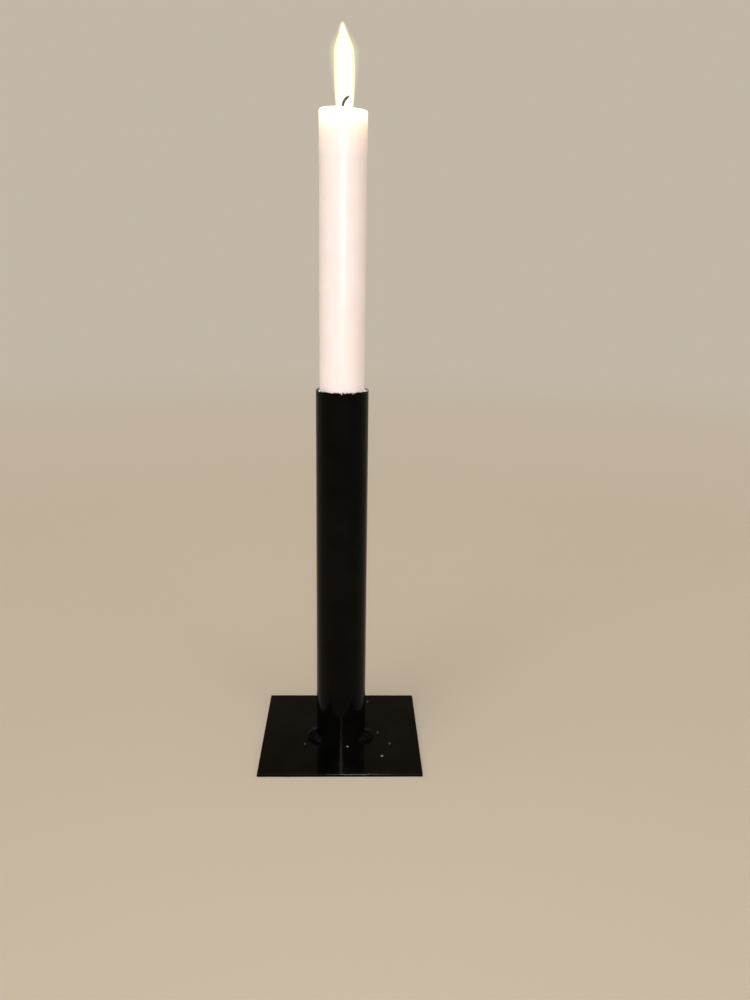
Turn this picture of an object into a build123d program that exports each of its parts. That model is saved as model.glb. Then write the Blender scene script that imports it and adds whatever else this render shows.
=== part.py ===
"""Steel candlestick holding a lit dinner candle.

A round steel tube stands on a square sheet-steel plate, held by three tack welds. The candle
drops into the tube and stands on the plate, so it lifts straight out.

Millimetres. The origin is the centre of the plate's underside, +Z is up, +X is to the right
seen from the front, and -Y is the front. Bearings are in degrees from +X towards +Y.
"""

import os
from math import cos, radians, sin
from random import Random

from build123d import *

# Base plate, cut from sheet
plate_side = 80.0
plate_thickness = 1.5
plate_corner_radius = 0.5
plate_edge_radius = 0.3

# Stem tube
tube_diameter = 25.0
tube_wall = 1.5
tube_length = 180.0
tube_lead_in = 0.4
tube_rim_radius = 0.3

# Tack welds: rows of overlapping round puddles in the corner between tube and plate.
# Each weld's middle bearing, the angle between its end puddles, and its share of the width
weld_left = (-164.0, 40.0, 1.0)
weld_right = (-18.0, 44.0, 0.88)
weld_rear = (92.0, 38.0, 0.91)
weld_puddles = 5
weld_width = 8.6
weld_height = 3.2
weld_standoff = 1.3
weld_end_share = 0.7

# Weld spatter on the plate. Each bead's bearing, its place between the tube's wall (0) and the
# plate's edge (1), and its share of the width and height
spatter_beads = (
    (-49.0, 0.75, 1.0),
    (-25.6, 0.60, 0.75),
    (-3.0, 0.26, 0.65),
    (-76.7, 0.11, 0.9),
    (65.9, 0.90, 0.7),
    (-146.0, 0.37, 0.6),
    (118.0, 0.47, 0.75),
)
spatter_width = 1.7
spatter_height = 0.7
spatter_edge_margin = 2.0

# Candle: a wax column with a dished top
candle_length = 302.0
candle_clearance = 0.25
candle_foot_chamfer = 0.8
candle_lip_width = 1.6
candle_lip_radius = 0.7
dish_depth = 2.2
dish_fill_share = 0.6

# Wick: straight up through the candle, its burnt end bent over towards +X
wick_diameter = 1.5
wick_foot_gap = 2.0
wick_above_pool = 1.3
wick_bend_radius = 4.2
wick_bend_angle = 62.0
wick_end_length = 0.9
wick_end_radius = 0.4

# Flame round the wick's end, leaning from right to left as it rises. Its outline is given from
# the foot up: half width as a share of the diameter, height as a share of the length
flame_above_pool = 1.4
flame_height = 33.6
flame_diameter = 7.8
flame_outline_shares = ((0.42, 0.10), (0.50, 0.33), (0.40, 0.68))
flame_foot_to_right = 0.9
flame_tip_to_left = 0.5
flame_tip_radius = 0.35

# Slivers of wax scraped off the candle, lying on the tube's rim
sliver_count = 11
sliver_cover_share = 0.46
sliver_wander_share = 0.18
sliver_height = 0.6
sliver_clearance = 0.2

tube_radius = tube_diameter / 2
bore_radius = tube_radius - tube_wall
candle_radius = bore_radius - candle_clearance
wick_radius = wick_diameter / 2
plate_top = plate_thickness
tube_top = plate_top + tube_length
candle_top = plate_top + candle_length
dish_radius = candle_radius - candle_lip_width
pool_top = candle_top - dish_depth * (1 - dish_fill_share)

os.makedirs("parts", exist_ok=True)


def save(part, label):
    """Labels a finished piece and writes it as parts/label.step."""
    part.label = label
    export_step(part, f"parts/{label}.step")
    print(label, "volume", round(part.volume, 2), "solids", len(part.solids()))


def around(distance, bearing, height):
    """The point at a distance from the tube's axis, on a bearing, at a height."""
    angle = radians(bearing)
    return (distance * cos(angle), distance * sin(angle), height)


def dome_section(place, diameter, height):
    """Half of the section of a dome that stands on a circle round a place."""
    with BuildSketch(Plane(place, x_dir=(1, 0, 0), z_dir=(0, -1, 0))) as section:
        with BuildLine():
            crown = TangentArc((0, height), (diameter / 2, 0), tangent=(1, 0))
            Polyline(crown @ 1, (0, 0), crown @ 0)
        make_face()
    return section.sketch


# Base plate

with BuildPart() as base_plate:
    with BuildSketch():
        RectangleRounded(plate_side, plate_side, plate_corner_radius)
    extrude(amount=plate_thickness)
    sheet_faces = base_plate.faces().sort_by(Axis.Z)
    fillet(sheet_faces[0].edges() + sheet_faces[-1].edges(), plate_edge_radius)

save(base_plate.part, "base_plate")


# Stem tube: its mouth is deburred inside and rounded outside

with BuildPart() as stem_tube:
    with BuildSketch(Plane.XY.offset(plate_top)):
        Circle(tube_radius)
        Circle(bore_radius, mode=Mode.SUBTRACT)
    extrude(amount=tube_length)
    mouth = stem_tube.faces().sort_by(Axis.Z)[-1].edges().sort_by(SortBy.RADIUS)
    chamfer(mouth[0], tube_lead_in)
    outer_rim = stem_tube.edges().group_by(Axis.Z)[-1].sort_by(SortBy.RADIUS)[-1]
    fillet(outer_rim, tube_rim_radius)

save(stem_tube.part, "stem_tube")


# Tack welds


def tack_weld(label, bearing, span, width_share):
    """Builds one tack weld: puddles in a row, smaller towards both ends."""
    with BuildPart() as weld:
        for n in range(weld_puddles):
            along = 2 * n / (weld_puddles - 1) - 1
            share = 1 - (1 - weld_end_share) * along**2
            place = around(tube_radius + weld_standoff, bearing + along * span / 2, plate_top)
            puddle = dome_section(place, weld_width * width_share * share, weld_height * share)
            revolve(puddle, axis=Axis(place, (0, 0, 1)))
        Cylinder(tube_radius, 2 * tube_length, mode=Mode.SUBTRACT)
    save(weld.part, label)


tack_weld("weld_left", *weld_left)
tack_weld("weld_right", *weld_right)
tack_weld("weld_rear", *weld_rear)


# Weld spatter: small domes on the plate

with BuildPart() as weld_spatter:
    for bearing, place_share, width_share in spatter_beads:
        strip = plate_side / 2 - spatter_edge_margin - tube_radius
        place = around(tube_radius + place_share * strip, bearing, plate_top)
        bead = dome_section(place, spatter_width * width_share, spatter_height * width_share)
        revolve(bead, axis=Axis(place, (0, 0, 1)))

save(weld_spatter.part, "weld_spatter")


# Wick: one round cord on a path that bends over at the top

wick_foot = plate_top + wick_foot_gap

with BuildPart() as wick:
    with BuildLine(Plane.XZ):
        stem = Line((0, wick_foot), (0, pool_top + wick_above_pool))
        bend = JernArc(stem @ 1, stem % 1, wick_bend_radius, -wick_bend_angle)
        Line(bend @ 1, bend @ 1 + wick_end_length * (bend % 1))
    with BuildSketch(Plane.XY.offset(wick_foot)):
        Circle(wick_radius)
    sweep()
    fillet(wick.faces().sort_by(Axis.X)[-1].edges(), min(wick_end_radius, 0.9 * wick_radius))

save(wick.part, "wick")


# Wax column: the wick fills a bore in it, and melting has left a dish in its top


def dish_profile():
    """Draws half of the dish's section, in the sketch being built, whole ellipse high."""
    with Locations((0, candle_top)):
        Ellipse(dish_radius, dish_depth)
        Rectangle(
            2 * dish_radius,
            3 * dish_depth,
            align=(Align.MAX, Align.CENTER),
            mode=Mode.SUBTRACT,
        )


with BuildPart() as candle_wax:
    with BuildSketch(Plane.XY.offset(plate_top)):
        Circle(candle_radius)
    extrude(amount=candle_length)
    chamfer(candle_wax.faces().sort_by(Axis.Z)[0].edges(), candle_foot_chamfer)
    with BuildSketch(Plane.XZ):
        dish_profile()
    revolve(axis=Axis.Z, mode=Mode.SUBTRACT)
    lip_edges = candle_wax.edges().group_by(Axis.Z)[-1]
    fillet(lip_edges, min(candle_lip_radius, 0.45 * candle_lip_width))
    add(wick.part, mode=Mode.SUBTRACT)

save(candle_wax.part, "candle_wax")


# Melted wax: the lower part of the dish, round the wick

with BuildPart() as molten_wax:
    with BuildSketch(Plane.XZ):
        dish_profile()
        with Locations((0, pool_top)):
            Rectangle(
                3 * dish_radius,
                3 * dish_depth,
                align=(Align.CENTER, Align.MIN),
                mode=Mode.SUBTRACT,
            )
    revolve(axis=Axis.Z)
    add(wick.part, mode=Mode.SUBTRACT)

save(molten_wax.part, "molten_wax")


# Flame: a long drop turned about an axis that leans a little, hollow where the wick is

flame_foot = Vector(flame_foot_to_right, 0, pool_top + flame_above_pool)
flame_tip = Vector(-flame_tip_to_left, 0, flame_foot.Z + flame_height)
flame_rise = (flame_tip - flame_foot).normalized()
flame_length = (flame_tip - flame_foot).length
towards_front = Vector(0, -1, 0)

with BuildPart() as flame:
    with BuildSketch(Plane(flame_foot, flame_rise.cross(towards_front), towards_front)):
        with BuildLine():
            side = Spline(
                (0, 0),
                *[(wide * flame_diameter, high * flame_length) for wide, high in flame_outline_shares],
                (flame_tip_radius, flame_length),
                tangents=((1, 0.1), (-0.2, 1)),
            )
            Line(side @ 1, (0, flame_length))
            Line((0, flame_length), (0, 0))
        make_face()
    revolve(axis=Axis(flame_foot, flame_rise))
    add(wick.part, mode=Mode.SUBTRACT)

save(flame.part, "flame")


# Wax slivers on the rim: low arched strips, uneven in length, height and spacing

sliver_inner = candle_radius + sliver_clearance
sliver_outer = tube_radius - tube_rim_radius
sliver_pitch = 360 / sliver_count
uneven = Random(4)

with BuildPart() as wax_slivers:
    for n in range(sliver_count):
        bearing = sliver_pitch * (n + sliver_wander_share * uneven.uniform(-1, 1))
        span = sliver_pitch * sliver_cover_share * uneven.uniform(0.5, 1.3)
        height = sliver_height * uneven.uniform(0.6, 1)
        with BuildSketch(Plane.XZ.rotated((0, 0, bearing - span / 2))):
            with BuildLine():
                arch = ThreePointArc(
                    (sliver_inner, tube_top),
                    ((sliver_inner + sliver_outer) / 2, tube_top + height),
                    (sliver_outer, tube_top),
                )
                Line(arch @ 1, arch @ 0)
            make_face()
        revolve(axis=Axis.Z, revolution_arc=span)

save(wax_slivers.part, "wax_slivers")
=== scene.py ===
"""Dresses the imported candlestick: camera, studio, painted steel, tack welds, wax, wick and flame.

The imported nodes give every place. Lengths are in metres, and MM turns millimetres into metres.
The front is -Y. Bearings are in degrees from +X towards +Y.
"""

import logging
import math
from collections.abc import Callable, Sequence
from dataclasses import dataclass, field
from enum import Enum
from functools import cache, reduce
from random import Random
from typing import Any, NamedTuple

import bmesh
import bpy
from mathutils import Matrix, Vector, noise


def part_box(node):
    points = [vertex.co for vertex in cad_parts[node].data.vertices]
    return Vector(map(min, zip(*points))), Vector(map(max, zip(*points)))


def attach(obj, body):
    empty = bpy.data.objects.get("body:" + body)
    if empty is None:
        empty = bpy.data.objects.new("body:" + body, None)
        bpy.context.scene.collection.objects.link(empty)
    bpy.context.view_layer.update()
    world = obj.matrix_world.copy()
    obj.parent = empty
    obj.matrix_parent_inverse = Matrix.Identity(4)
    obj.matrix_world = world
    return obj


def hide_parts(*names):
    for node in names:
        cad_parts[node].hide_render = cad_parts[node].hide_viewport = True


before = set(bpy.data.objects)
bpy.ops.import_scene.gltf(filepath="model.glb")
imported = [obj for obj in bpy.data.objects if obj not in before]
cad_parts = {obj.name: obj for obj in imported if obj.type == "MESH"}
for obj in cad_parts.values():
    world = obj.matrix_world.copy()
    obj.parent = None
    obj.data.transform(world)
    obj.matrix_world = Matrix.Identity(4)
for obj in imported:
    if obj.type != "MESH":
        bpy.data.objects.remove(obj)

MM = 0.001
WAX_REFRACTION = 1.44
log = logging.getLogger("candlestick")

Socket = bpy.types.NodeSocket
Triple = tuple[float, float, float]
Colour = Triple


class Body(str, Enum):
    """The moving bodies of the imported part."""

    STAND = "candlestick"
    CANDLE = "candle"


class Slot(str, Enum):
    """The record's material slots."""

    PAINT = "black_paint"
    WAX = "white_wax"
    MELT = "molten_wax"
    WICK = "cotton_wick"
    FLAME = "flame"


# Node trees


@dataclass
class Graph:
    """A node tree being wired, for a finish, the world or a Geometry Nodes tool."""

    tree: bpy.types.NodeTree

    def add(
        self, kind: str, inputs: dict[int | str, Any] | None = None, **settings: Any
    ) -> bpy.types.Node:
        """Adds a node and fills its inputs.

        Args:
            kind: Blender's name of the node's type.
            inputs: for each input's name or number, a value or a socket to link.
            **settings: properties of the node, set before its inputs.

        Returns:
            The new node.
        """
        node = self.tree.nodes.new(kind)
        for name, value in settings.items():
            setattr(node, name, value)
        for key, value in (inputs or {}).items():
            if isinstance(value, Socket):
                self.tree.links.new(value, node.inputs[key])
            else:
                node.inputs[key].default_value = value
        return node

    def first(
        self, kind: str, inputs: dict[int | str, Any] | None = None, **settings: Any
    ) -> Socket:
        """Adds a node as add does, and returns its first output."""
        return self.add(kind, inputs, **settings).outputs[0]

    def math(self, operation: str, *values: float | Socket) -> Socket:
        """Returns the result of a Math node."""
        return self.first("ShaderNodeMath", dict(enumerate(values)), operation=operation)

    def product(self, *values: float | Socket) -> Socket:
        """Returns the product of two or more numbers."""
        return reduce(lambda one, other: self.math("MULTIPLY", one, other), values)

    def vector(self, operation: str, *values: Any) -> Socket:
        """Returns the result of a Vector Math node, the number for LENGTH."""
        node = self.add("ShaderNodeVectorMath", dict(enumerate(values)), operation=operation)
        return node.outputs["Value" if operation == "LENGTH" else "Vector"]

    def scaled(self, vector: Socket, share: float | Socket) -> Socket:
        """Returns a vector times a number."""
        node = self.add(
            "ShaderNodeVectorMath", {"Vector": vector, "Scale": share}, operation="SCALE"
        )
        return node.outputs["Vector"]

    def joined(self, x: float | Socket, y: float | Socket, z: float | Socket) -> Socket:
        """Returns a vector made of three numbers."""
        return self.first("ShaderNodeCombineXYZ", {0: x, 1: y, 2: z})

    def split(self, vector: Socket) -> tuple[Socket, Socket, Socket]:
        """Returns the three numbers of a vector."""
        parts = self.add("ShaderNodeSeparateXYZ", {0: vector}).outputs
        return parts[0], parts[1], parts[2]

    def noise(self, place: Socket, scale: float | Socket, detail: float = 2.0) -> Socket:
        """Returns smooth noise from 0 to 1.

        Args:
            place: the coordinates it is read at.
            scale: its lumps per unit of those coordinates.
            detail: how many finer layers it has.

        Returns:
            The noise's socket.
        """
        node = self.add("ShaderNodeTexNoise", {"Vector": place, "Scale": scale, "Detail": detail})
        return node.outputs["Fac"]

    def between(
        self, value: Socket, low: float, high: float, at_low: float, at_high: float
    ) -> Socket:
        """Returns value moved from the range low..high to at_low..at_high, and held there."""
        inputs = {0: value, 1: low, 2: high, 3: at_low, 4: at_high}
        return self.first("ShaderNodeMapRange", inputs)

    def ramp(self, value: Socket, stops: Sequence[tuple[float, Colour]]) -> Socket:
        """Returns the colour of a ramp.

        Args:
            value: where on the ramp, from 0 to 1.
            stops: places on the ramp and their colours, in order.

        Returns:
            The colour's socket.
        """
        node = self.add("ShaderNodeValToRGB", {"Fac": value})
        elements = node.color_ramp.elements
        while len(elements) < len(stops):
            elements.new(1.0)
        for element, (place, colour) in zip(elements, stops):
            element.position = place
            element.color = (*colour, 1.0)
        return node.outputs["Color"]


@dataclass(frozen=True)
class Grain:
    """A layer of smooth noise: its lumps per metre and, where it is a relief, its depth."""

    lumps: float
    depth: float = 0.0
    detail: float = 2.0
    stretch: Triple = (1.0, 1.0, 1.0)


@dataclass
class FinishGraph(Graph):
    """The node tree of one material, with one Principled shader."""

    material: bpy.types.Material
    shader: bpy.types.Node

    @classmethod
    def new(cls, name: str) -> "FinishGraph":
        """Returns the tree of a new material."""
        material = bpy.data.materials.new(name)
        material.use_nodes = True
        tree = material.node_tree
        return cls(tree, material, tree.nodes["Principled BSDF"])

    def place(self, stretch: Triple = (1.0, 1.0, 1.0)) -> Socket:
        """Returns the place on the object, in metres, with its axes stretched."""
        coordinates = self.add("ShaderNodeTexCoord").outputs["Object"]
        return self.first("ShaderNodeMapping", {"Vector": coordinates, "Scale": stretch})

    def height(self) -> Socket:
        """Returns the height above the table, in metres."""
        return self.split(self.place())[2]

    def grain(self, layer: Grain) -> Socket:
        """Returns a layer's noise, from 0 to 1."""
        return self.noise(self.place(layer.stretch), layer.lumps, layer.detail)

    def sheen(self, patches: Socket, low: float, high: float) -> Socket:
        """Returns a roughness from low to high that follows a layer's noise."""
        return self.between(patches, 0.3, 0.7, low, high)

    def relief(self, *layers: Grain | tuple[Socket, float]) -> Socket:
        """Stacks bumps on each other.

        Args:
            *layers: layers, or pairs of a height from 0 to 1 and its depth in metres.

        Returns:
            The normal's socket.
        """
        normal = None
        for layer in layers:
            known = isinstance(layer, Grain)
            height, depth = (self.grain(layer), layer.depth) if known else layer
            inputs = {"Height": height, "Distance": depth, "Strength": 1.0}
            if normal is not None:
                inputs["Normal"] = normal
            normal = self.add("ShaderNodeBump", inputs).outputs["Normal"]
        return normal

    def finish(self, inputs: dict[str, Any]) -> bpy.types.Material:
        """Sets or links the Principled shader's inputs and returns the material."""
        for key, value in inputs.items():
            if isinstance(value, Socket):
                self.tree.links.new(value, self.shader.inputs[key])
            else:
                self.shader.inputs[key].default_value = value
        return self.material


class Tool(Graph):
    """A Geometry Nodes tree with named inputs, which makes one plain mesh."""

    def __init__(self, name: str) -> None:
        """Starts the tree, with its geometry in and out."""
        super().__init__(bpy.data.node_groups.new(name, "GeometryNodeTree"))
        for way in ("INPUT", "OUTPUT"):
            self.tree.interface.new_socket(
                "Geometry", in_out=way, socket_type="NodeSocketGeometry"
            )
        self.source = self.add("NodeGroupInput")
        self.values: dict[str, Any] = {}

    @property
    def geometry(self) -> Socket:
        """The geometry that the tool is given."""
        return self.source.outputs["Geometry"]

    def size(self, name: str, value: float | int | bpy.types.Material) -> Socket:
        """Adds a named input.

        Args:
            name: what the input is called.
            value: what the modifier sets it to.

        Returns:
            The input's socket inside the tree.
        """
        kinds = {float: "NodeSocketFloat", int: "NodeSocketInt"}
        kind = kinds.get(type(value), "NodeSocketMaterial")
        item = self.tree.interface.new_socket(name, in_out="INPUT", socket_type=kind)
        self.values[item.identifier] = value
        return self.source.outputs[name]

    def attribute(self, name: str, data_type: str) -> Socket:
        """Returns a named attribute of the geometry."""
        inputs = {"Name": name}
        node = self.add("GeometryNodeInputNamedAttribute", inputs, data_type=data_type)
        return node.outputs["Attribute"]

    def shift(self, geometry: Socket, offset: Socket) -> Socket:
        """Returns the geometry with its points moved by an offset."""
        return self.first("GeometryNodeSetPosition", {"Geometry": geometry, "Offset": offset})

    def put(self, geometry: Socket, place: Socket) -> Socket:
        """Returns the geometry with its points put at a place."""
        return self.first("GeometryNodeSetPosition", {"Geometry": geometry, "Position": place})

    def random(self, low: float, high: float, seed: int | Socket) -> Socket:
        """Returns a random number for each point."""
        inputs = {2: low, 3: high, "Seed": seed}
        return self.add("FunctionNodeRandomValue", inputs, data_type="FLOAT").outputs[1]

    def ball(self, level: int, radius: float = 1.0) -> Socket:
        """Returns a ball whose faces are divided as often as its level says."""
        return self.first("GeometryNodeMeshIcoSphere", {"Radius": radius, "Subdivisions": level})

    def scattered(
        self, points: Socket, shape: Socket, size: Socket, others: dict[str, Any] | None = None
    ) -> Socket:
        """Returns copies of a shape on points, as one mesh.

        Args:
            points: where the copies go.
            shape: what is copied.
            size: each copy's scale.
            others: further inputs of the node that places them.

        Returns:
            The mesh's socket.
        """
        inputs = {"Points": points, "Instance": shape, "Scale": size, **(others or {})}
        placed = self.first("GeometryNodeInstanceOnPoints", inputs)
        return self.first("GeometryNodeRealizeInstances", {"Geometry": placed})

    def roughened(self, geometry: Socket, scale: float | Socket, depth: float | Socket) -> Socket:
        """Returns the geometry with its skin moved in and out by noise.

        Args:
            geometry: a mesh.
            scale: the noise's lumps per unit.
            depth: how far a point moves at the most.

        Returns:
            The mesh's socket.
        """
        here = self.first("GeometryNodeInputPosition")
        rise = self.math("SUBTRACT", self.noise(here, scale), 0.5)
        normal = self.add("GeometryNodeInputNormal").outputs["Normal"]
        return self.shift(geometry, self.scaled(normal, self.product(rise, 2.0, depth)))

    def kept_outside(
        self, geometry: Socket, radius: float | Socket, floor: float | Socket
    ) -> Socket:
        """Returns the geometry with no point nearer to the axis than radius, nor below floor."""
        x, y, z = self.split(self.first("GeometryNodeInputPosition"))
        away = self.vector("LENGTH", self.joined(x, y, 0.0))
        share = self.math("DIVIDE", self.math("MAXIMUM", away, radius), away)
        high_enough = self.math("MAXIMUM", z, floor)
        place = self.joined(self.product(x, share), self.product(y, share), high_enough)
        return self.put(geometry, place)

    def close(self, geometry: Socket, material: Socket) -> None:
        """Ends the tree: instances made real, shaded smooth, in one material."""
        real = self.first("GeometryNodeRealizeInstances", {"Geometry": geometry})
        smooth = self.first("GeometryNodeSetShadeSmooth", {"Geometry": real})
        inputs = {"Geometry": smooth, "Material": material}
        dressed = self.first("GeometryNodeSetMaterial", inputs)
        self.add("NodeGroupOutput", {"Geometry": dressed})

    def make(self, name: str, source: bpy.types.ID) -> bpy.types.Object:
        """Runs the tool once and keeps its result as a plain mesh.

        Args:
            name: the piece's name.
            source: the mesh or curve that the tool is given.

        Returns:
            The piece, with no modifier on it.
        """
        carrier = linked(name + "_source", source)
        modifier = carrier.modifiers.new("Tool", "NODES")
        modifier.node_group = self.tree
        for identifier, value in self.values.items():
            modifier[identifier] = value
        depsgraph = bpy.context.evaluated_depsgraph_get()
        evaluated = carrier.evaluated_get(depsgraph)
        mesh = bpy.data.meshes.new_from_object(evaluated, depsgraph=depsgraph)
        bpy.data.objects.remove(carrier)
        return linked(name, mesh)


# Meshes


@cache
def packed_box(node: str) -> tuple[Vector, Vector]:
    """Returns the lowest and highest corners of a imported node."""
    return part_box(node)


def linked(name: str, data: bpy.types.ID | None) -> bpy.types.Object:
    """Returns a new object in the scene, at the origin."""
    piece = bpy.data.objects.new(name, data)
    bpy.context.scene.collection.objects.link(piece)
    return piece


def from_bmesh(name: str, shape: bmesh.types.BMesh) -> bpy.types.Mesh:
    """Returns a smooth-shaded mesh with the bmesh's faces, and frees the bmesh."""
    mesh = bpy.data.meshes.new(name)
    shape.to_mesh(mesh)
    shape.free()
    mesh.shade_smooth()
    return mesh


def turned(
    name: str,
    profile: Sequence[Any],
    segments: int,
    place: Callable[[Any, float], Vector],
) -> bpy.types.Mesh:
    """Builds a closed mesh of rings between two poles.

    Args:
        name: the mesh's name.
        profile: what describes each ring, from the lower pole to the upper one.
        segments: points on each ring.
        place: where a profile entry's point at an angle is.

    Returns:
        The mesh, facing outwards.
    """
    shape = bmesh.new()
    angles = [2 * math.pi * step / segments for step in range(segments)]
    rings = [
        [shape.verts.new(place(entry, angle)) for angle in angles] for entry in profile[1:-1]
    ]
    lower = shape.verts.new(place(profile[0], 0.0))
    upper = shape.verts.new(place(profile[-1], 0.0))
    for step in range(segments):
        after = (step + 1) % segments
        shape.faces.new((lower, rings[0][after], rings[0][step]))
        for below, above in zip(rings, rings[1:]):
            shape.faces.new((below[step], below[after], above[after], above[step]))
        shape.faces.new((upper, rings[-1][step], rings[-1][after]))
    return from_bmesh(name, shape)


def around(distance: float, bearing: float, height: float) -> Vector:
    """Returns the point at a distance from the axis, on a bearing in degrees, at a height."""
    angle = math.radians(bearing)
    return Vector((distance * math.cos(angle), distance * math.sin(angle), height))


def finished(
    piece: bpy.types.Object, body: Body, slot: Slot, *nodes: str
) -> bpy.types.Object:
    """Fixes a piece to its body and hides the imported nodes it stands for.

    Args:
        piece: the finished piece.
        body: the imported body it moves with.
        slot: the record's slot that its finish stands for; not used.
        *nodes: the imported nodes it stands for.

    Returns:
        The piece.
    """
    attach(piece, body.value)
    if nodes:
        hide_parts(*nodes)
    log.info("%s: %d faces on %s", piece.name, len(piece.data.polygons), body.value)
    return piece


# Finishes


@dataclass(frozen=True)
class GlossPaint:
    """Black gloss enamel on steel: orange peel, a few dust nibs, uneven sheen."""

    dark: Colour = (0.0012, 0.0011, 0.0010)
    light: Colour = (0.0028, 0.0026, 0.0024)
    refraction: float = 1.45
    mirror_level: float = 0.07
    sheen_low: float = 0.10
    sheen_high: float = 0.19
    patches: Grain = Grain(55.0, detail=4.0)
    sag: Grain = Grain(75.0, 0.03 * MM, 1.0, (1.0, 1.0, 0.25))
    peel: Grain = Grain(420.0, 0.006 * MM)
    nib_cells: float = 260.0
    nib_radius: float = 0.07
    nib_depth: float = 0.02 * MM

    def material(self, name: str) -> bpy.types.Material:
        """Returns the paint as a material."""
        graph = FinishGraph.new(name)
        patches = graph.grain(self.patches)
        inputs = {"Vector": graph.place(), "Scale": self.nib_cells}
        cells = graph.add("ShaderNodeTexVoronoi", inputs).outputs["Distance"]
        nibs = graph.between(cells, 0.0, self.nib_radius, 1.0, 0.0)
        return graph.finish(
            {
                "Base Color": graph.ramp(patches, ((0.35, self.dark), (0.65, self.light))),
                "Roughness": graph.sheen(patches, self.sheen_low, self.sheen_high),
                "IOR": self.refraction,
                "Specular IOR Level": self.mirror_level,
                "Normal": graph.relief(self.sag, self.peel, (nibs, self.nib_depth)),
            }
        )


@dataclass(frozen=True)
class CandleWax:
    """White wax, with a painted glow near the top: emission that stands in for the flame's light
    inside the wax.
    """

    pale: Colour = (0.95, 0.835, 0.825)
    deep: Colour = (0.93, 0.81, 0.80)
    mirror_level: float = 0.12
    # Painted glow: emission that rises over these heights, standing in for the flame's light
    # scattered inside the wax.
    painted_glow_from: float = 0.0
    painted_glow_to: float = 0.0
    painted_glow_stops: tuple[tuple[float, Colour], ...] = (
        (0.0, (0.0, 0.0, 0.0)),
        (0.20, (0.08, 0.045, 0.035)),
        (0.41, (0.16, 0.10, 0.05)),
        (0.62, (0.28, 0.22, 0.10)),
        (0.84, (0.50, 0.48, 0.34)),
        (1.0, (0.95, 0.92, 0.80)),
    )
    scatter: float = 0.3
    scatter_length: float = 3.0 * MM
    scatter_shares: Triple = (1.0, 0.6, 0.45)
    sheen_low: float = 0.32
    sheen_high: float = 0.40
    clouds: Grain = Grain(110.0, detail=3.0)
    dents: Grain = Grain(90.0, 0.02 * MM, 1.0, (1.0, 1.0, 0.5))
    drawn_lines: Grain = Grain(900.0, 0.004 * MM, stretch=(1.0, 1.0, 0.03))
    bloom: Grain = Grain(2600.0, 0.002 * MM)

    def material(self, name: str) -> bpy.types.Material:
        """Returns the wax as a material."""
        graph = FinishGraph.new(name)
        clouds = graph.grain(self.clouds)
        inputs = {
            "Base Color": graph.ramp(clouds, ((0.3, self.deep), (0.6, self.pale))),
            "Roughness": graph.sheen(clouds, self.sheen_low, self.sheen_high),
            "IOR": WAX_REFRACTION,
            "Specular IOR Level": self.mirror_level,
            "Subsurface Weight": self.scatter,
            "Subsurface Radius": self.scatter_shares,
            "Subsurface Scale": self.scatter_length,
            "Normal": graph.relief(self.dents, self.drawn_lines, self.bloom),
        }
        # The painted glow: emission that rises towards the top, standing in for the flame's light
        # inside the wax, not a lamp.
        if self.painted_glow_to > self.painted_glow_from:
            rise = graph.between(graph.height(), self.painted_glow_from, self.painted_glow_to, 0.0, 1.0)
            inputs["Emission Color"] = graph.ramp(rise, self.painted_glow_stops)
            inputs["Emission Strength"] = 1.0
        return graph.finish(inputs)


@dataclass(frozen=True)
class MeltedWax:
    """Clear hot wax, wet, with a painted glow: emission that stands in for the flame's light
    through it.
    """

    tint: Colour = (0.96, 0.90, 0.78)
    pale_tint: Colour = (1.0, 0.96, 0.88)
    # Painted glow: an emission colour and strength that stand in for the flame's light through the
    # melted wax.
    glow: Colour = (1.0, 0.86, 0.55)
    painted_glow_strength: float = 0.35
    clearness: float = 0.7
    sheen_low: float = 0.02
    sheen_high: float = 0.06
    ripples: Grain = Grain(300.0, 0.01 * MM, 1.0)

    def material(self, name: str) -> bpy.types.Material:
        """Returns the melted wax as a material."""
        graph = FinishGraph.new(name)
        ripples = graph.grain(self.ripples)
        roughness = graph.between(ripples, 0.2, 0.8, self.sheen_low, self.sheen_high)
        return graph.finish(
            {
                "Base Color": graph.ramp(ripples, ((0.2, self.tint), (0.8, self.pale_tint))),
                "Roughness": roughness,
                "IOR": WAX_REFRACTION,
                "Transmission Weight": self.clearness,
                # The painted glow, not a lamp.
                "Emission Color": (*self.glow, 1.0),
                "Emission Strength": self.painted_glow_strength,
                "Normal": graph.relief((ripples, self.ripples.depth)),
            }
        )


@dataclass(frozen=True)
class BurntCotton:
    """Plaited cotton: waxed and cream where it leaves the wax, charred brown above."""

    waxed: Colour = (0.62, 0.50, 0.36)
    scorched: Colour = (0.12, 0.050, 0.040)
    charred: Colour = (0.075, 0.034, 0.030)
    char_from: float = 0.0
    char_to: float = 0.0
    char_wander: float = 0.6 * MM
    sheen_low: float = 0.65
    sheen_high: float = 0.95
    flecks: Grain = Grain(2400.0, 0.03 * MM, 3.0)
    fibres: Grain = Grain(7000.0, 0.03 * MM, stretch=(1.0, 1.0, 0.2))

    def material(self, name: str) -> bpy.types.Material:
        """Returns the wick's cotton as a material."""
        graph = FinishGraph.new(name)
        flecks = graph.grain(self.flecks)
        edge = graph.product(graph.math("SUBTRACT", flecks, 0.5), self.char_wander)
        height = graph.math("ADD", graph.height(), edge)
        burn = graph.between(height, self.char_from, self.char_to, 0.0, 1.0)
        stops = ((0.0, self.waxed), (0.25, self.scorched), (0.7, self.charred))
        return graph.finish(
            {
                "Base Color": graph.ramp(burn, stops),
                "Roughness": graph.sheen(flecks, self.sheen_low, self.sheen_high),
                "Normal": graph.relief(self.fibres, (flecks, self.flecks.depth)),
            }
        )


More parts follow.
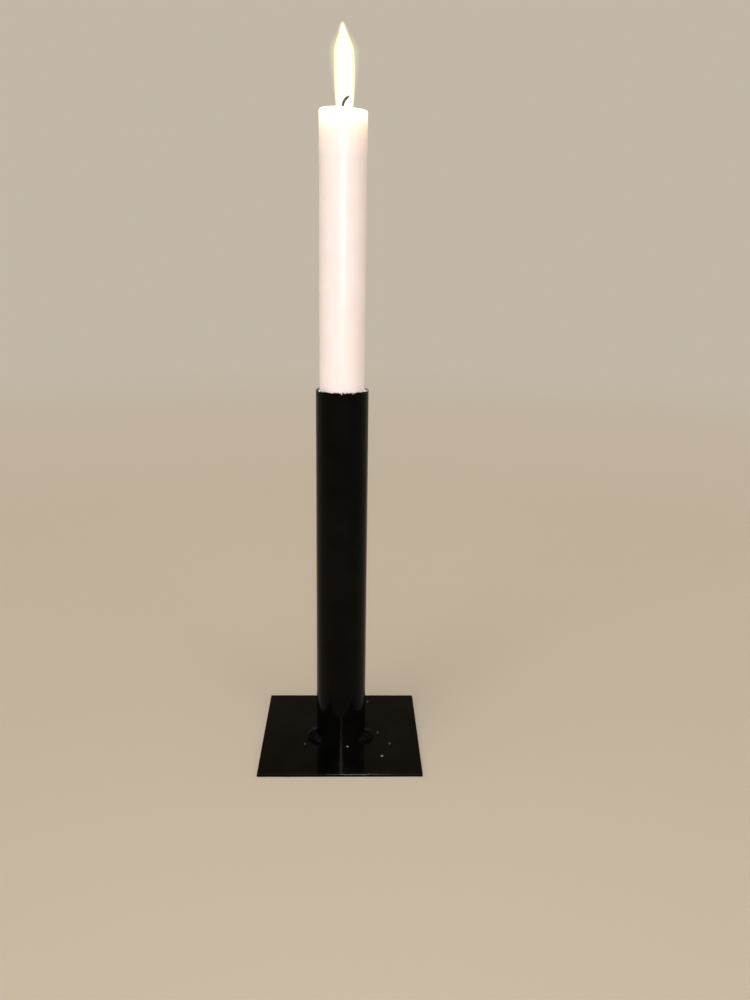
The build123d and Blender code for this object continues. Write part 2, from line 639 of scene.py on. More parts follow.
@dataclass(frozen=True)
class FlameLight:
    """Burning gas: light only, no surface, thinner towards the foot and, if soft, the sides."""

    strength: float
    opacity: float
    colours: tuple[tuple[float, Colour], ...]
    clear_until: float
    full_from: float
    top: float
    faint: float = 0.0
    softness: float = 0.0

    def material(self, name: str) -> bpy.types.Material:
        """Returns the flame's light as a material."""
        graph = FinishGraph.new(name)
        height = graph.height()
        rise = graph.between(height, self.clear_until, self.top, 0.0, 1.0)
        alpha = graph.between(
            height, self.clear_until, self.full_from, self.faint, self.opacity
        )
        if self.softness > 0.0:
            aside = graph.add("ShaderNodeLayerWeight", {"Blend": 0.5}).outputs["Facing"]
            facing = graph.math("SUBTRACT", 1.0, aside)
            alpha = graph.product(alpha, graph.math("POWER", facing, self.softness))
        return graph.finish(
            {
                "Base Color": (0.0, 0.0, 0.0, 1.0),
                "Specular IOR Level": 0.0,
                "Roughness": 1.0,
                "Emission Color": graph.ramp(rise, self.colours),
                "Emission Strength": self.strength,
                "Alpha": alpha,
            }
        )


# Camera and studio


@dataclass
class PhotoCamera:
    """The photograph's camera, found from the plate's corners and the tube's and candle's sides."""

    place: Vector = field(default_factory=lambda: Vector((4.304, -416.468, 241.402)) * MM)
    towards: Vector = field(default_factory=lambda: Vector((0.0274674, 0.96425275, -0.26355677)))
    roll: float = math.radians(0.807)
    lens: float = 31.86
    long_side: float = 36.0

    def build(self) -> None:
        """Makes the camera and gives it to the scene."""
        right = self.towards.cross(Vector((0.0, 0.0, 1.0))).normalized()
        up = right.cross(self.towards)
        leaning_right = math.cos(self.roll) * right + math.sin(self.roll) * up
        leaning_up = math.cos(self.roll) * up - math.sin(self.roll) * right
        axes = Matrix((leaning_right, leaning_up, -self.towards)).transposed()
        data = bpy.data.cameras.new("photo_camera")
        data.sensor_width = self.long_side
        data.lens = self.lens
        data.clip_start = 0.01
        data.clip_end = 50.0
        camera = linked("photo_camera", data)
        camera.matrix_world = Matrix.Translation(self.place) @ axes.to_4x4()
        bpy.context.scene.camera = camera
        log.info("camera at %s", [round(value, 4) for value in self.place])


@dataclass
class Lamp:
    """A soft rectangular lamp that points at the object."""

    name: str
    place: Triple
    width: float
    height: float
    power: float
    colour: Colour = (1.0, 1.0, 1.0)
    aim: Triple = (0.0, 0.0, 0.17)
    glints_only: bool = False

    def build(self) -> None:
        """Hangs the lamp."""
        data = bpy.data.lights.new(self.name, "AREA")
        data.shape = "RECTANGLE"
        data.size = self.width
        data.size_y = self.height
        data.energy = self.power
        data.color = self.colour
        lamp = linked(self.name, data)
        ray = Vector(self.aim) - Vector(self.place)
        turn = ray.to_track_quat("-Z", "Y").to_matrix().to_4x4()
        lamp.matrix_world = Matrix.Translation(self.place) @ turn
        lamp.visible_camera = False
        lamp.visible_diffuse = not self.glints_only


@dataclass
class Sun:
    """A wide, distant lamp that lights the whole floor evenly, with soft shadows."""

    name: str
    bearing: float
    elevation: float
    share: float
    softness: float
    colour: Colour = (1.0, 1.0, 1.0)

    def build(self) -> None:
        """Hangs the lamp. At a share of 1 it lights a white surface that faces it to white."""
        data = bpy.data.lights.new(self.name, "SUN")
        data.energy = math.pi * self.share
        data.angle = math.radians(self.softness)
        data.color = self.colour
        lamp = linked(self.name, data)
        tilt = math.radians(self.elevation)
        away = around(math.cos(tilt), self.bearing, math.sin(tilt))
        turn = away.to_track_quat("Z", "Y").to_matrix().to_4x4()
        lamp.matrix_world = Matrix.Translation(away) @ turn


@dataclass
class Studio:
    """A plain pale floor that runs into a pale horizon, a dim ceiling, and soft lamps."""

    sand: Colour = (0.54, 0.475, 0.385)
    ceiling: Colour = (0.26, 0.20, 0.13)
    floor_radius: float = 6.0
    shade_until: float = 0.5
    plain_from: float = 1.6
    pale_until: float = 0.29
    dim_from: float = 0.44
    lamps: tuple[Lamp | Sun, ...] = (
        Sun("overhead_lamp", -110.0, 72.0, 0.60, 50.0),
        Sun("key_lamp", -128.0, 14.0, 0.25, 30.0),
        Sun("fill_lamp", -48.0, 12.0, 0.18, 30.0),
        Lamp("near_lamp", (0.012, -0.44, 0.29), 0.006, 0.006, 0.36),
        Lamp("glint_lamp", (0.012, -0.44, 0.29), 0.006, 0.006, 3.5, glints_only=True),
    )

    def build(self) -> None:
        """Makes the floor, the world and the lamps."""
        self.lay_floor()
        self.paint_world()
        for lamp in self.lamps:
            lamp.build()
        log.info("studio with %d lamps", len(self.lamps))

    def lay_floor(self) -> None:
        """Lays a round floor that turns into the horizon's colour far from the object."""
        shape = bmesh.new()
        bmesh.ops.create_circle(shape, cap_ends=True, segments=96, radius=self.floor_radius)
        floor = linked("floor", from_bmesh("floor", shape))
        graph = FinishGraph.new("pale_floor")
        sand = (*self.sand, 1.0)
        graph.finish({"Base Color": sand, "Roughness": 0.9, "Specular IOR Level": 0.0})
        away = graph.vector("LENGTH", graph.place())
        far = graph.between(away, self.shade_until, self.plain_from, 0.0, 1.0)
        plain = graph.first("ShaderNodeEmission", {"Color": sand})
        inputs = {0: far, 1: graph.shader.outputs[0], 2: plain}
        output = graph.tree.nodes["Material Output"]
        graph.tree.links.new(graph.first("ShaderNodeMixShader", inputs), output.inputs["Surface"])
        floor.data.materials.append(graph.material)

    def paint_world(self) -> None:
        """Makes the world pale up to a little above the horizon, and dim overhead."""
        world = bpy.data.worlds.new("studio")
        world.use_nodes = True
        bpy.context.scene.world = world
        graph = Graph(world.node_tree)
        direction = graph.add("ShaderNodeTexCoord").outputs["Generated"]
        rise = graph.between(graph.split(direction)[2], self.pale_until, self.dim_from, 0.0, 1.0)
        colour = graph.ramp(rise, ((0.0, self.sand), (1.0, self.ceiling)))
        graph.tree.links.new(colour, world.node_tree.nodes["Background"].inputs["Color"])


# Painted steel


@dataclass
class TackWeld:
    """One tack weld: a row of overlapping puddles in the corner between tube and plate.

    Its lengths are in millimetres, because its voxels are small.
    """

    node: str
    bearing: float
    span: float
    width_share: float
    seed: int
    puddles: int = 5
    width: float = 8.6
    height: float = 3.2
    standoff: float = 1.3
    end_share: float = 0.7
    smallest: float = 0.84
    largest: float = 1.12
    into_wall: float = 0.3
    into_plate: float = 0.2
    voxel: float = 0.13
    volume_band: float = 0.4
    skin_density: float = 0.2
    melting_steps: int = 4
    lumps_per_mm: float = 0.5
    lump_depth: float = 0.6
    knobs_per_mm: float = 1.25
    knob_depth: float = 0.26

    def build(self, paint: bpy.types.Material) -> bpy.types.Object:
        """Builds the weld, in millimetres until the tool's last step.

        Args:
            paint: the paint over it.

        Returns:
            The piece.
        """
        low, high = packed_box("stem_tube")
        wall = high.x / MM
        plate_top = low.z / MM
        tool = Tool("tack_weld_tool")
        count = tool.size("Puddles", self.puddles)
        row = tool.size("Row Radius", wall + self.standoff)
        bearing = tool.size("Bearing", math.radians(self.bearing))
        span = tool.size("Span", math.radians(self.span))
        width = tool.size("Puddle Width", self.width * self.width_share)
        height = tool.size("Puddle Height", self.height)
        end_share = tool.size("End Share", self.end_share)
        voxel = tool.size("Voxel", self.voxel)
        lumps = tool.size("Lumps Per Millimetre", self.lumps_per_mm)
        depth = tool.size("Lump Depth", self.lump_depth)
        knobs = tool.size("Knobs Per Millimetre", self.knobs_per_mm)
        knob_depth = tool.size("Knob Depth", self.knob_depth)
        inner = tool.size("Wall Radius", wall - self.into_wall)
        under = tool.size("Underside", plate_top - self.into_plate)
        base = tool.size("Plate Top", plate_top)
        seed = tool.size("Seed", self.seed)
        unit = tool.size("Metres Per Millimetre", MM)
        material = tool.size("Paint", paint)

        start = tool.math("SUBTRACT", bearing, tool.product(span, 0.5))
        inputs = {"Resolution": count, "Radius": row, "Start Angle": start, "Sweep Angle": span}
        arc = tool.first("GeometryNodeCurveArc", inputs)
        points = tool.first("GeometryNodeCurveToPoints", {"Curve": arc}, mode="EVALUATED")
        last = tool.math("SUBTRACT", count, 1.0)
        place = tool.math("DIVIDE", tool.first("GeometryNodeInputIndex"), last)
        along = tool.math("SUBTRACT", tool.product(place, 2.0), 1.0)
        drop = tool.product(tool.math("SUBTRACT", 1.0, end_share), tool.product(along, along))
        uneven = tool.random(self.smallest, self.largest, seed)
        share = tool.product(tool.math("SUBTRACT", 1.0, drop), uneven)
        half = tool.product(width, 0.5, share)
        size = tool.joined(half, half, tool.product(height, share))
        inputs = {
            "Mesh": tool.scattered(points, tool.ball(5), size),
            "Density": 1.0,
            "Voxel Size": voxel,
            "Interior Band Width": self.volume_band,
        }
        solid = tool.first("GeometryNodeMeshToVolume", inputs, resolution_mode="VOXEL_SIZE")
        inputs = {"Volume": solid, "Threshold": self.skin_density}
        skin = tool.first("GeometryNodeVolumeToMesh", inputs)
        raised = tool.shift(skin, tool.joined(0.0, 0.0, base))
        lumpy = tool.roughened(tool.roughened(raised, lumps, depth), knobs, knob_depth)
        here = tool.first("GeometryNodeInputPosition")
        inputs = {"Value": here, "Iterations": self.melting_steps}
        blurred = tool.first("GeometryNodeBlurAttribute", inputs, data_type="FLOAT_VECTOR")
        kept = tool.kept_outside(tool.put(lumpy, blurred), inner, under)
        inputs = {"Geometry": kept, "Scale": tool.joined(unit, unit, unit)}
        tool.close(tool.first("GeometryNodeTransform", inputs), material)
        piece = tool.make("tack_" + self.node, bpy.data.meshes.new("weld_start"))
        return finished(piece, Body.STAND, Slot.PAINT, self.node)


@dataclass(frozen=True)
class Bead:
    """One bead of weld metal on the plate.

    Attributes:
        bearing: where it is round the tube.
        far: its place between the tube's wall (0) and the end of the strip (1).
        share: its width as a share of the widest bead's.
        tallness: its height as a share of what its width would give.
    """

    bearing: float
    far: float
    share: float
    tallness: float


@dataclass
class Spatter:
    """Beads of weld metal stuck to the plate, under the paint."""

    beads: tuple[Bead, ...] = (
        Bead(-49.0, 0.75, 1.0, 1.0),
        Bead(-25.6, 0.60, 0.75, 0.5),
        Bead(-3.0, 0.26, 0.65, 0.45),
        Bead(-76.7, 0.11, 0.9, 0.85),
        Bead(65.9, 0.90, 0.7, 0.45),
        Bead(-146.0, 0.37, 0.6, 0.3),
        Bead(118.0, 0.47, 0.75, 0.5),
    )
    width: float = 1.7 * MM
    height: float = 0.7 * MM
    strip: float = 25.5 * MM
    into_plate: float = 0.1 * MM
    narrowest: float = 0.8
    broadest: float = 1.15
    skin_lumps: float = 700.0
    skin_depth: float = 0.08 * MM
    seed: int = 5

    def build(self, paint: bpy.types.Material) -> bpy.types.Object:
        """Scatters the beads.

        Args:
            paint: the paint over them.

        Returns:
            The piece.
        """
        low, high = packed_box("stem_tube")
        source = bpy.data.meshes.new("bead_places")
        places = [
            around(high.x + bead.far * self.strip, bead.bearing, low.z) for bead in self.beads
        ]
        source.from_pydata(places, [], [])
        columns = {
            "share": [bead.share for bead in self.beads],
            "tallness": [bead.tallness for bead in self.beads],
        }
        for name, values in columns.items():
            source.attributes.new(name, "FLOAT", "POINT").data.foreach_set("value", values)
        tool = Tool("spatter_tool")
        width = tool.size("Bead Width", self.width)
        height = tool.size("Bead Height", self.height)
        under = tool.size("Underside", low.z - self.into_plate)
        seed = tool.size("Seed", self.seed)
        material = tool.size("Paint", paint)
        share = tool.attribute("share", "FLOAT")
        half = tool.product(width, 0.5, share)
        tall = tool.product(height, share, tool.attribute("tallness", "FLOAT"))
        uneven = tool.random(self.narrowest, self.broadest, seed)
        size = tool.joined(half, tool.product(half, uneven), tall)
        turn = tool.joined(0.0, 0.0, tool.random(0.0, math.tau, seed))
        beads = tool.scattered(tool.geometry, tool.ball(4), size, {"Rotation": turn})
        lumpy = tool.roughened(beads, self.skin_lumps, self.skin_depth)
        tool.close(tool.kept_outside(lumpy, 0.0, under), material)
        piece = tool.make("spatter_beads", source)
        return finished(piece, Body.STAND, Slot.PAINT, "weld_spatter")


@dataclass
class SteelStand:
    """The painted steel: plate and tube as packed, with welds and spatter in detail."""

    paint: GlossPaint = field(default_factory=GlossPaint)
    weld_paint: GlossPaint = GlossPaint(
        mirror_level=0.025, sheen_low=0.05, sheen_high=0.1, peel=Grain(1300.0, 0.035 * MM)
    )
    bead_paint: GlossPaint = GlossPaint(
        refraction=1.8, mirror_level=1.0, sheen_low=0.04, sheen_high=0.07
    )
    welds: tuple[TackWeld, ...] = (
        TackWeld("weld_left", -160.0, 34.0, 0.96, 3),
        TackWeld("weld_right", -22.0, 37.0, 0.86, 8),
        TackWeld("weld_rear", 92.0, 38.0, 0.91, 11),
    )
    spatter: Spatter = field(default_factory=Spatter)

    def build(self) -> None:
        """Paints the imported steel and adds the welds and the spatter."""
        paint = self.paint.material("gloss_black_paint")
        for name in ("base_plate", "stem_tube"):
            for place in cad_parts[name].material_slots:
                place.material = paint
            log.info("%s: painted", name)
        weld_paint = self.weld_paint.material("paint_over_welds")
        for weld in self.welds:
            weld.build(weld_paint)
        self.spatter.build(self.bead_paint.material("paint_over_spatter"))


# Candle


@dataclass
class WaxColumn:
    """The candle's wax: a long column with a softened, uneven lip round a dished top."""

    segments: int = 144
    lip_width: float = 1.6 * MM
    lip_radius: float = 0.7 * MM
    foot_chamfer: float = 0.8 * MM
    dish_depth: float = 2.2 * MM
    side_step: float = 4.0 * MM
    lip_steps: int = 6
    dish_steps: int = 17
    unevenness: float = 0.035 * MM
    swells_round: float = 1.2
    swells_up: float = 28.0
    even_within: float = 8.0 * MM
    lip_unevenness: float = 0.28 * MM
    lip_sags_round: float = 1.1
    lip_sag_start: float = 4.0
    lip_sag_middle: float = 0.35
    lip_tilt: float = 0.45 * MM
    lip_reach: float = 3.0 * MM

    def profile(self) -> list[tuple[float, float]]:
        """Returns the section's points as radius and height, from the foot's middle upwards."""
        low, high = packed_box("candle_wax")
        radius, foot, top = high.x, low.z, high.z
        dish = radius - self.lip_width
        points = [
            (0.0, foot),
            (radius * 0.5, foot),
            (radius - self.foot_chamfer, foot),
            (radius, foot + self.foot_chamfer),
        ]
        shoulder = top - self.lip_radius
        steps = int((shoulder - foot) / self.side_step)
        start = foot + self.foot_chamfer
        points += [
            (radius, start + (shoulder - start) * step / steps) for step in range(1, steps)
        ]
        for step in range(self.lip_steps + 1):
            angle = math.radians(90 * step / self.lip_steps)
            rounded = radius - self.lip_radius * (1 - math.cos(angle))
            points.append((rounded, shoulder + self.lip_radius * math.sin(angle)))
        for step in range(1, self.dish_steps):
            angle = math.radians(90 * step / self.dish_steps)
            points.append((dish * math.cos(angle), top - self.dish_depth * math.sin(angle)))
        points.append((0.0, top - self.dish_depth))
        return points

    def point(self, entry: tuple[float, float], angle: float) -> Vector:
        """Returns a point of the skin, a little off the true round.

        Args:
            entry: radius and height of the ring.
            angle: where on the ring, in radians.

        Returns:
            The point.
        """
        radius, height = entry
        outer = packed_box("candle_wax")[1]
        side = Vector((math.cos(angle), math.sin(angle), 0.0))
        swell = noise.noise(side * self.swells_round + Vector((0.0, 0.0, height * self.swells_up)))
        near_lip = max(0.0, 1 - (outer.z - height) / self.lip_reach) if radius > 0 else 0.0
        sag = noise.noise(side * self.lip_sags_round + Vector((self.lip_sag_start, 0.0, 0.0)))
        sag -= self.lip_sag_middle
        reach = radius + self.unevenness * swell * min(1.0, radius / self.even_within)
        outward = (radius / outer.x) ** 4
        rise =self.lip_unevenness * sag - self.lip_tilt * side.x * outward
        return side * reach + Vector((0.0, 0.0, height + rise * near_lip**2))

    def build(self, wax: bpy.types.Material) -> bpy.types.Object:
        """Turns the column.

        Args:
            wax: its material.

        Returns:
            The piece.
        """
        mesh = turned("candle_body", self.profile(), self.segments, self.point)
        mesh.materials.append(wax)
        return finished(linked("candle_body", mesh), Body.CANDLE, Slot.WAX, "candle_wax")


@dataclass
class MeltPool:
    """Melted wax in the dish, drawn up a little against the wax and the wick."""

    segments: int = 96
    bowl_steps: int = 12
    surface_steps: int = 25
    sink: float = 0.05 * MM
    edge_rise: float = 0.14 * MM
    wick_rise: float = 0.3 * MM
    rise_length: float = 0.55 * MM
    wick_radius: float = 0.6 * MM

    def build(self, melt: bpy.types.Material) -> bpy.types.Object:
        """Fills the dish.

        Args:
            melt: the melted wax's material.

        Returns:
            The piece.
        """
        low, high = packed_box("molten_wax")
        top, bottom, edge = high.z, low.z, high.x
        outer = packed_box("candle_wax")[1]
        dish = outer.x - WaxColumn.lip_width
        depth = outer.z - bottom
        profile = [(0.0, bottom - self.sink)]
        for step in range(1, self.bowl_steps + 1):
            angle = math.radians(90 * step / self.bowl_steps)
            radius = (edge + self.sink) * math.sin(angle)
            bowl = outer.z - depth * math.sqrt(1 - (radius / dish) ** 2)
            profile.append((radius, bowl - self.sink))
        for step in range(1, self.surface_steps):
            radius = edge * (1 - step / self.surface_steps)
            from_wick = max(0.0, radius - self.wick_radius)
            climb = self.edge_rise * math.exp(-(edge - radius) / self.rise_length)
            climb += self.wick_rise * math.exp(-from_wick / self.rise_length)
            profile.append((radius, top + climb))
        profile.append((0.0, top + self.wick_rise))
        mesh = turned(
            "melt_pool",
            profile,
            self.segments,
            lambda entry, angle: Vector(
                (entry[0] * math.cos(angle), entry[0] * math.sin(angle), entry[1])
            ),
        )
        mesh.materials.append(melt)
        return finished(linked("melt_pool", mesh), Body.CANDLE, Slot.MELT, "molten_wax")


@dataclass
class PlaitedWick:
    """A flat plait of three cotton strands, its burnt end bent over to the right.

    The path's points are how far to the right and how high they are, in millimetres.
    """

    path: tuple[tuple[float, float], ...] = (
        (0.0, 150.0),
        (0.0, 302.9),
        (-0.35, 304.8),
        (0.0, 306.5),
        (0.75, 307.7),
        (1.9, 308.75),
        (2.65, 309.2),
    )
    path_steps: int = 24
    strands: int = 3
    strand_sides: int = 8
    strand_radius: float = 0.32 * MM
    weave_width: float = 0.34 * MM
    weave_depth: float = 0.18 * MM
    pitch: float = 3.2 * MM
    step: float = 0.2 * MM
    taper_length: float = 1.4 * MM
    tip_share: float = 0.5

    def route(self) -> bpy.types.Curve:
        """Returns the wick's line as a smooth curve from its foot to its burnt end."""
        curve = bpy.data.curves.new("wick_route", "CURVE")
        curve.dimensions = "3D"
        curve.resolution_u = self.path_steps
        line = curve.splines.new("NURBS")
        points = [(0.0, packed_box("wick")[0].z / MM), *self.path]
        line.points.add(len(points) - 1)
        for point, (x, z) in zip(line.points, points):
            point.co = (x * MM, 0.0, z * MM, 1.0)
        line.order_u = 3
        line.use_endpoint_u = True
        return curve

    def build(self, cotton: bpy.types.Material) -> bpy.types.Object:
        """Plaits the strands along the route.

        Args:
            cotton: the wick's material.

        Returns:
            The piece.
        """
        tool = Tool("plait_tool")
        strands = tool.size("Strands", self.strands)
        radius = tool.size("Strand Radius", self.strand_radius)
        wide = tool.size("Weave Width", self.weave_width)
        deep = tool.size("Weave Depth", self.weave_depth)
        pitch = tool.size("Pitch", self.pitch)
        step = tool.size("Step", self.step)
        taper = tool.size("Taper Length", self.taper_length)
        tip = tool.size("Tip Share", self.tip_share)
        material = tool.size("Cotton", cotton)

        inputs = {"Curve": tool.geometry, "Length": step}
        even = tool.first("GeometryNodeResampleCurve", inputs, mode="LENGTH")
        whole = tool.first("GeometryNodeCurveLength", {"Curve": even})
        inputs = {"Geometry": even, "Amount": strands}
        copies = tool.add("GeometryNodeDuplicateElements", inputs, domain="SPLINE").outputs
        along = tool.add("GeometryNodeSplineParameter").outputs["Factor"]
        length = tool.product(along, whole)
        left = tool.math("SUBTRACT", whole, length)
        burnt = tool.math("MINIMUM", tool.math("DIVIDE", left, taper), 1.0)
        fuller = tool.product(tool.math("SUBTRACT", 1.0, tip), burnt)
        share = tool.math("ADD", tip, fuller)
        turns = tool.math("DIVIDE", length, pitch)
        phase = tool.math("DIVIDE", copies["Duplicate Index"], strands)
        angle = tool.product(tool.math("ADD", turns, phase), math.tau)
        across = tool.product(tool.math("SINE", angle), wide)
        inward = tool.product(tool.math("SINE", tool.product(angle, 2.0)), deep)
        normal = tool.add("GeometryNodeInputNormal").outputs["Normal"]
        tangent = tool.first("GeometryNodeInputTangent")
        side = tool.vector("CROSS_PRODUCT", tangent, normal)
        weave = tool.vector("ADD", tool.scaled(normal, across), tool.scaled(side, inward))
        woven = tool.shift(copies["Geometry"], tool.scaled(weave, share))
        inputs = {"Resolution": self.strand_sides, "Radius": radius}
        circle = tool.first("GeometryNodeCurvePrimitiveCircle", inputs)
        inputs = {"Curve": woven, "Profile Curve": circle, "Scale": share, "Fill Caps": True}
        tool.close(tool.first("GeometryNodeCurveToMesh", inputs), material)
        piece = tool.make("plaited_wick", self.route())
        return finished(piece, Body.CANDLE, Slot.WICK, "wick")


class Ring(NamedTuple):
    """One ring of the flame.

    Attributes:
        share: its height as a share of the flame's.
        wide: half its width, in millimetres.
        deep: half its depth, in millimetres.
        back: how far behind the wick it is, in millimetres.
    """

    share: float
    wide: float
    deep: float
    back: float = 0.0


@dataclass(frozen=True)
class Veil:
    """A thin shell of light round the flame's heart.

    Attributes:
        name: the piece's name.
        wider: how far it passes the heart sideways, in millimetres.
        taller: how far it passes the heart upwards, in millimetres.
        foot_share: how much of that width it has at the foot.
        opacity: how much it covers at the most.
        softness: how fast it thins towards its sides.
        strength: how bright it is.
    """

    name: str
    wider: float
    taller: float
    foot_share: float
    opacity: float
    softness: float
    strength: float


@dataclass
class Flame:
    """The flame: a bright heart set behind the wick at its foot, and thin veils round it."""

    foot_to_right: float = 0.5 * MM
    tip_to_left: float = 0.5 * MM
    segments: int = 16
    roundings: int = 3
    heart: tuple[Ring, ...] = (
        Ring(0.00, 0.0, 0.0, 2.2),
        Ring(0.005, 3.0, 0.9, 2.2),
        Ring(0.04, 3.15, 1.3, 2.3),
        Ring(0.12, 3.15, 1.5, 2.3),
        Ring(0.21, 3.15, 2.2, 1.6),
        Ring(0.32, 3.15, 2.9, 0.6),
        Ring(0.46, 3.15, 3.15),
        Ring(0.60, 3.15, 3.15),
        Ring(0.70, 2.9, 2.9),
        Ring(0.79, 2.1, 2.1),
        Ring(0.86, 1.4, 1.4),
        Ring(0.93, 0.85, 0.85),
        Ring(0.98, 0.42, 0.42),
        Ring(1.00, 0.0, 0.0),
    )
    heart_strength: float = 1.35
    heart_colours: tuple[tuple[float, Colour], ...] = (
        (0.0, (0.95, 0.92, 1.0)),
        (0.12, (1.0, 0.97, 0.92)),
        (1.0, (1.0, 0.97, 0.90)),
    )
    heart_fade: float = 1.0 * MM
    foot_light: float = 0.5
    veils: tuple[Veil, ...] = (
        Veil("flame_veil_inner", 1.6, 0.5, 0.5, 0.42, 1.3, 2.2),
        Veil("flame_veil_outer", 4.4, 1.2, 0.15, 0.045, 3.4, 6.0),
    )
    veil_colours: tuple[tuple[float, Colour], ...] = (
        (0.0, (1.0, 0.88, 0.62)),
        (0.25, (1.0, 0.95, 0.52)),
        (1.0, (1.0, 0.94, 0.48)),
    )
    veil_fade: float = 9.0 * MM
    veil_gap: float = 0.05
    full_width: float = 2.6
    spread_rate: float = 1.6
    deep_from: float = 0.3

    def section(self, entry: Ring, angle: float) -> Vector:
        """Returns a point of a shell.

        Args:
            entry: the ring it is on.
            angle: where on the ring, in radians.

        Returns:
            The point.
        """
        low, high = packed_box("flame")
        share, wide, deep, back = entry
        lean = self.foot_to_right - (self.tip_to_left + self.foot_to_right) * share**3
        return Vector(
            (
                lean + wide * MM * math.cos(angle),
                (back + deep * math.sin(angle)) * MM,
                low.z + (high.z - low.z) * share,
            )
        )

    def veil_rows(self, veil: Veil) -> list[Ring]:
        """Returns a veil's rings: the heart's, spread away from the foot and drawn up."""
        low, high = packed_box("flame")
        rows = []
        for share, wide, deep, back in self.heart:
            spread = min(1.0, veil.foot_share + self.spread_rate * share)
            extra = veil.wider * min(1.0, wide / self.full_width) * spread
            depth = deep + extra * min(1.0, share / self.deep_from) + self.veil_gap * min(1.0, deep)
            drawn_up = share * (1 + veil.taller * MM / (high.z - low.z))
            rows.append(Ring(drawn_up, wide + extra, depth, back))
        return rows

    def shell(
        self, name: str, rows: Sequence[Ring], light: bpy.types.Material
    ) -> bpy.types.Object:
        """Builds one closed shell.

        Args:
            name: the piece's name.
            rows: its rings, from the foot up.
            light: its material.

        Returns:
            The piece.
        """
        mesh = turned(name, rows, self.segments, self.section)
        mesh.materials.append(light)
        piece = linked(name, mesh)
        rounding = piece.modifiers.new("Rounding", "SUBSURF")
        rounding.levels = self.roundings
        rounding.render_levels = self.roundings
        return piece

    def build(self) -> None:
        """Builds the heart and the veils."""
        low, high = packed_box("flame")
        heart = FlameLight(
            strength=self.heart_strength,
            opacity=1.0,
            colours=self.heart_colours,
            clear_until=low.z,
            full_from=low.z + self.heart_fade,
            top=high.z,
            faint=self.foot_light,
        )
        light = heart.material("flame_heart_light")
        piece = self.shell("flame_heart", self.heart, light)
        finished(piece, Body.CANDLE, Slot.FLAME, "flame")
        for veil in self.veils:
            glow = FlameLight(
                strength=veil.strength,
                opacity=veil.opacity,
                colours=self.veil_colours,
                clear_until=low.z,
                full_from=low.z + self.veil_fade,
                top=high.z,
                faint=veil.opacity * self.foot_light,
                softness=veil.softness,
            )
            light = glow.material(veil.name + "_light")
            piece = self.shell(veil.name, self.veil_rows(veil), light)
            finished(piece, Body.CANDLE, Slot.FLAME)


@dataclass
class Candle:
    """The lit candle: wax, pool, wick and flame."""

    column: WaxColumn = field(default_factory=WaxColumn)
    pool: MeltPool = field(default_factory=MeltPool)
    wick: PlaitedWick = field(default_factory=PlaitedWick)
    flame: Flame = field(default_factory=Flame)
    # Where the wax's painted glow starts below the top, and where it is full.
    painted_glow_depth: float = 20.0 * MM
    full_painted_glow_depth: float = 1.5 * MM
    char_rise: float = 2.0 * MM

    def build(self) -> None:
        """Builds the candle's pieces, from the wax up."""
        top = packed_box("candle_wax")[1].z
        wax = CandleWax(painted_glow_from=top - self.painted_glow_depth, painted_glow_to=top - self.full_painted_glow_depth)
        self.column.build(wax.material("lit_candle_wax"))
        self.pool.build(MeltedWax().material("melted_wax"))
        pool_top = packed_box("molten_wax")[1].z
        cotton = BurntCotton(char_from=pool_top, char_to=pool_top + self.char_rise)
        self.wick.build(cotton.material("burnt_cotton"))
        self.flame.build()


# Wax scraped off on the rim


class Shape(Enum):
    """The shapes of scraped wax, numbered as the tool picks them."""

    CURL = 0
    CRUMB = 1
    THORN = 2
    FLAT = 3


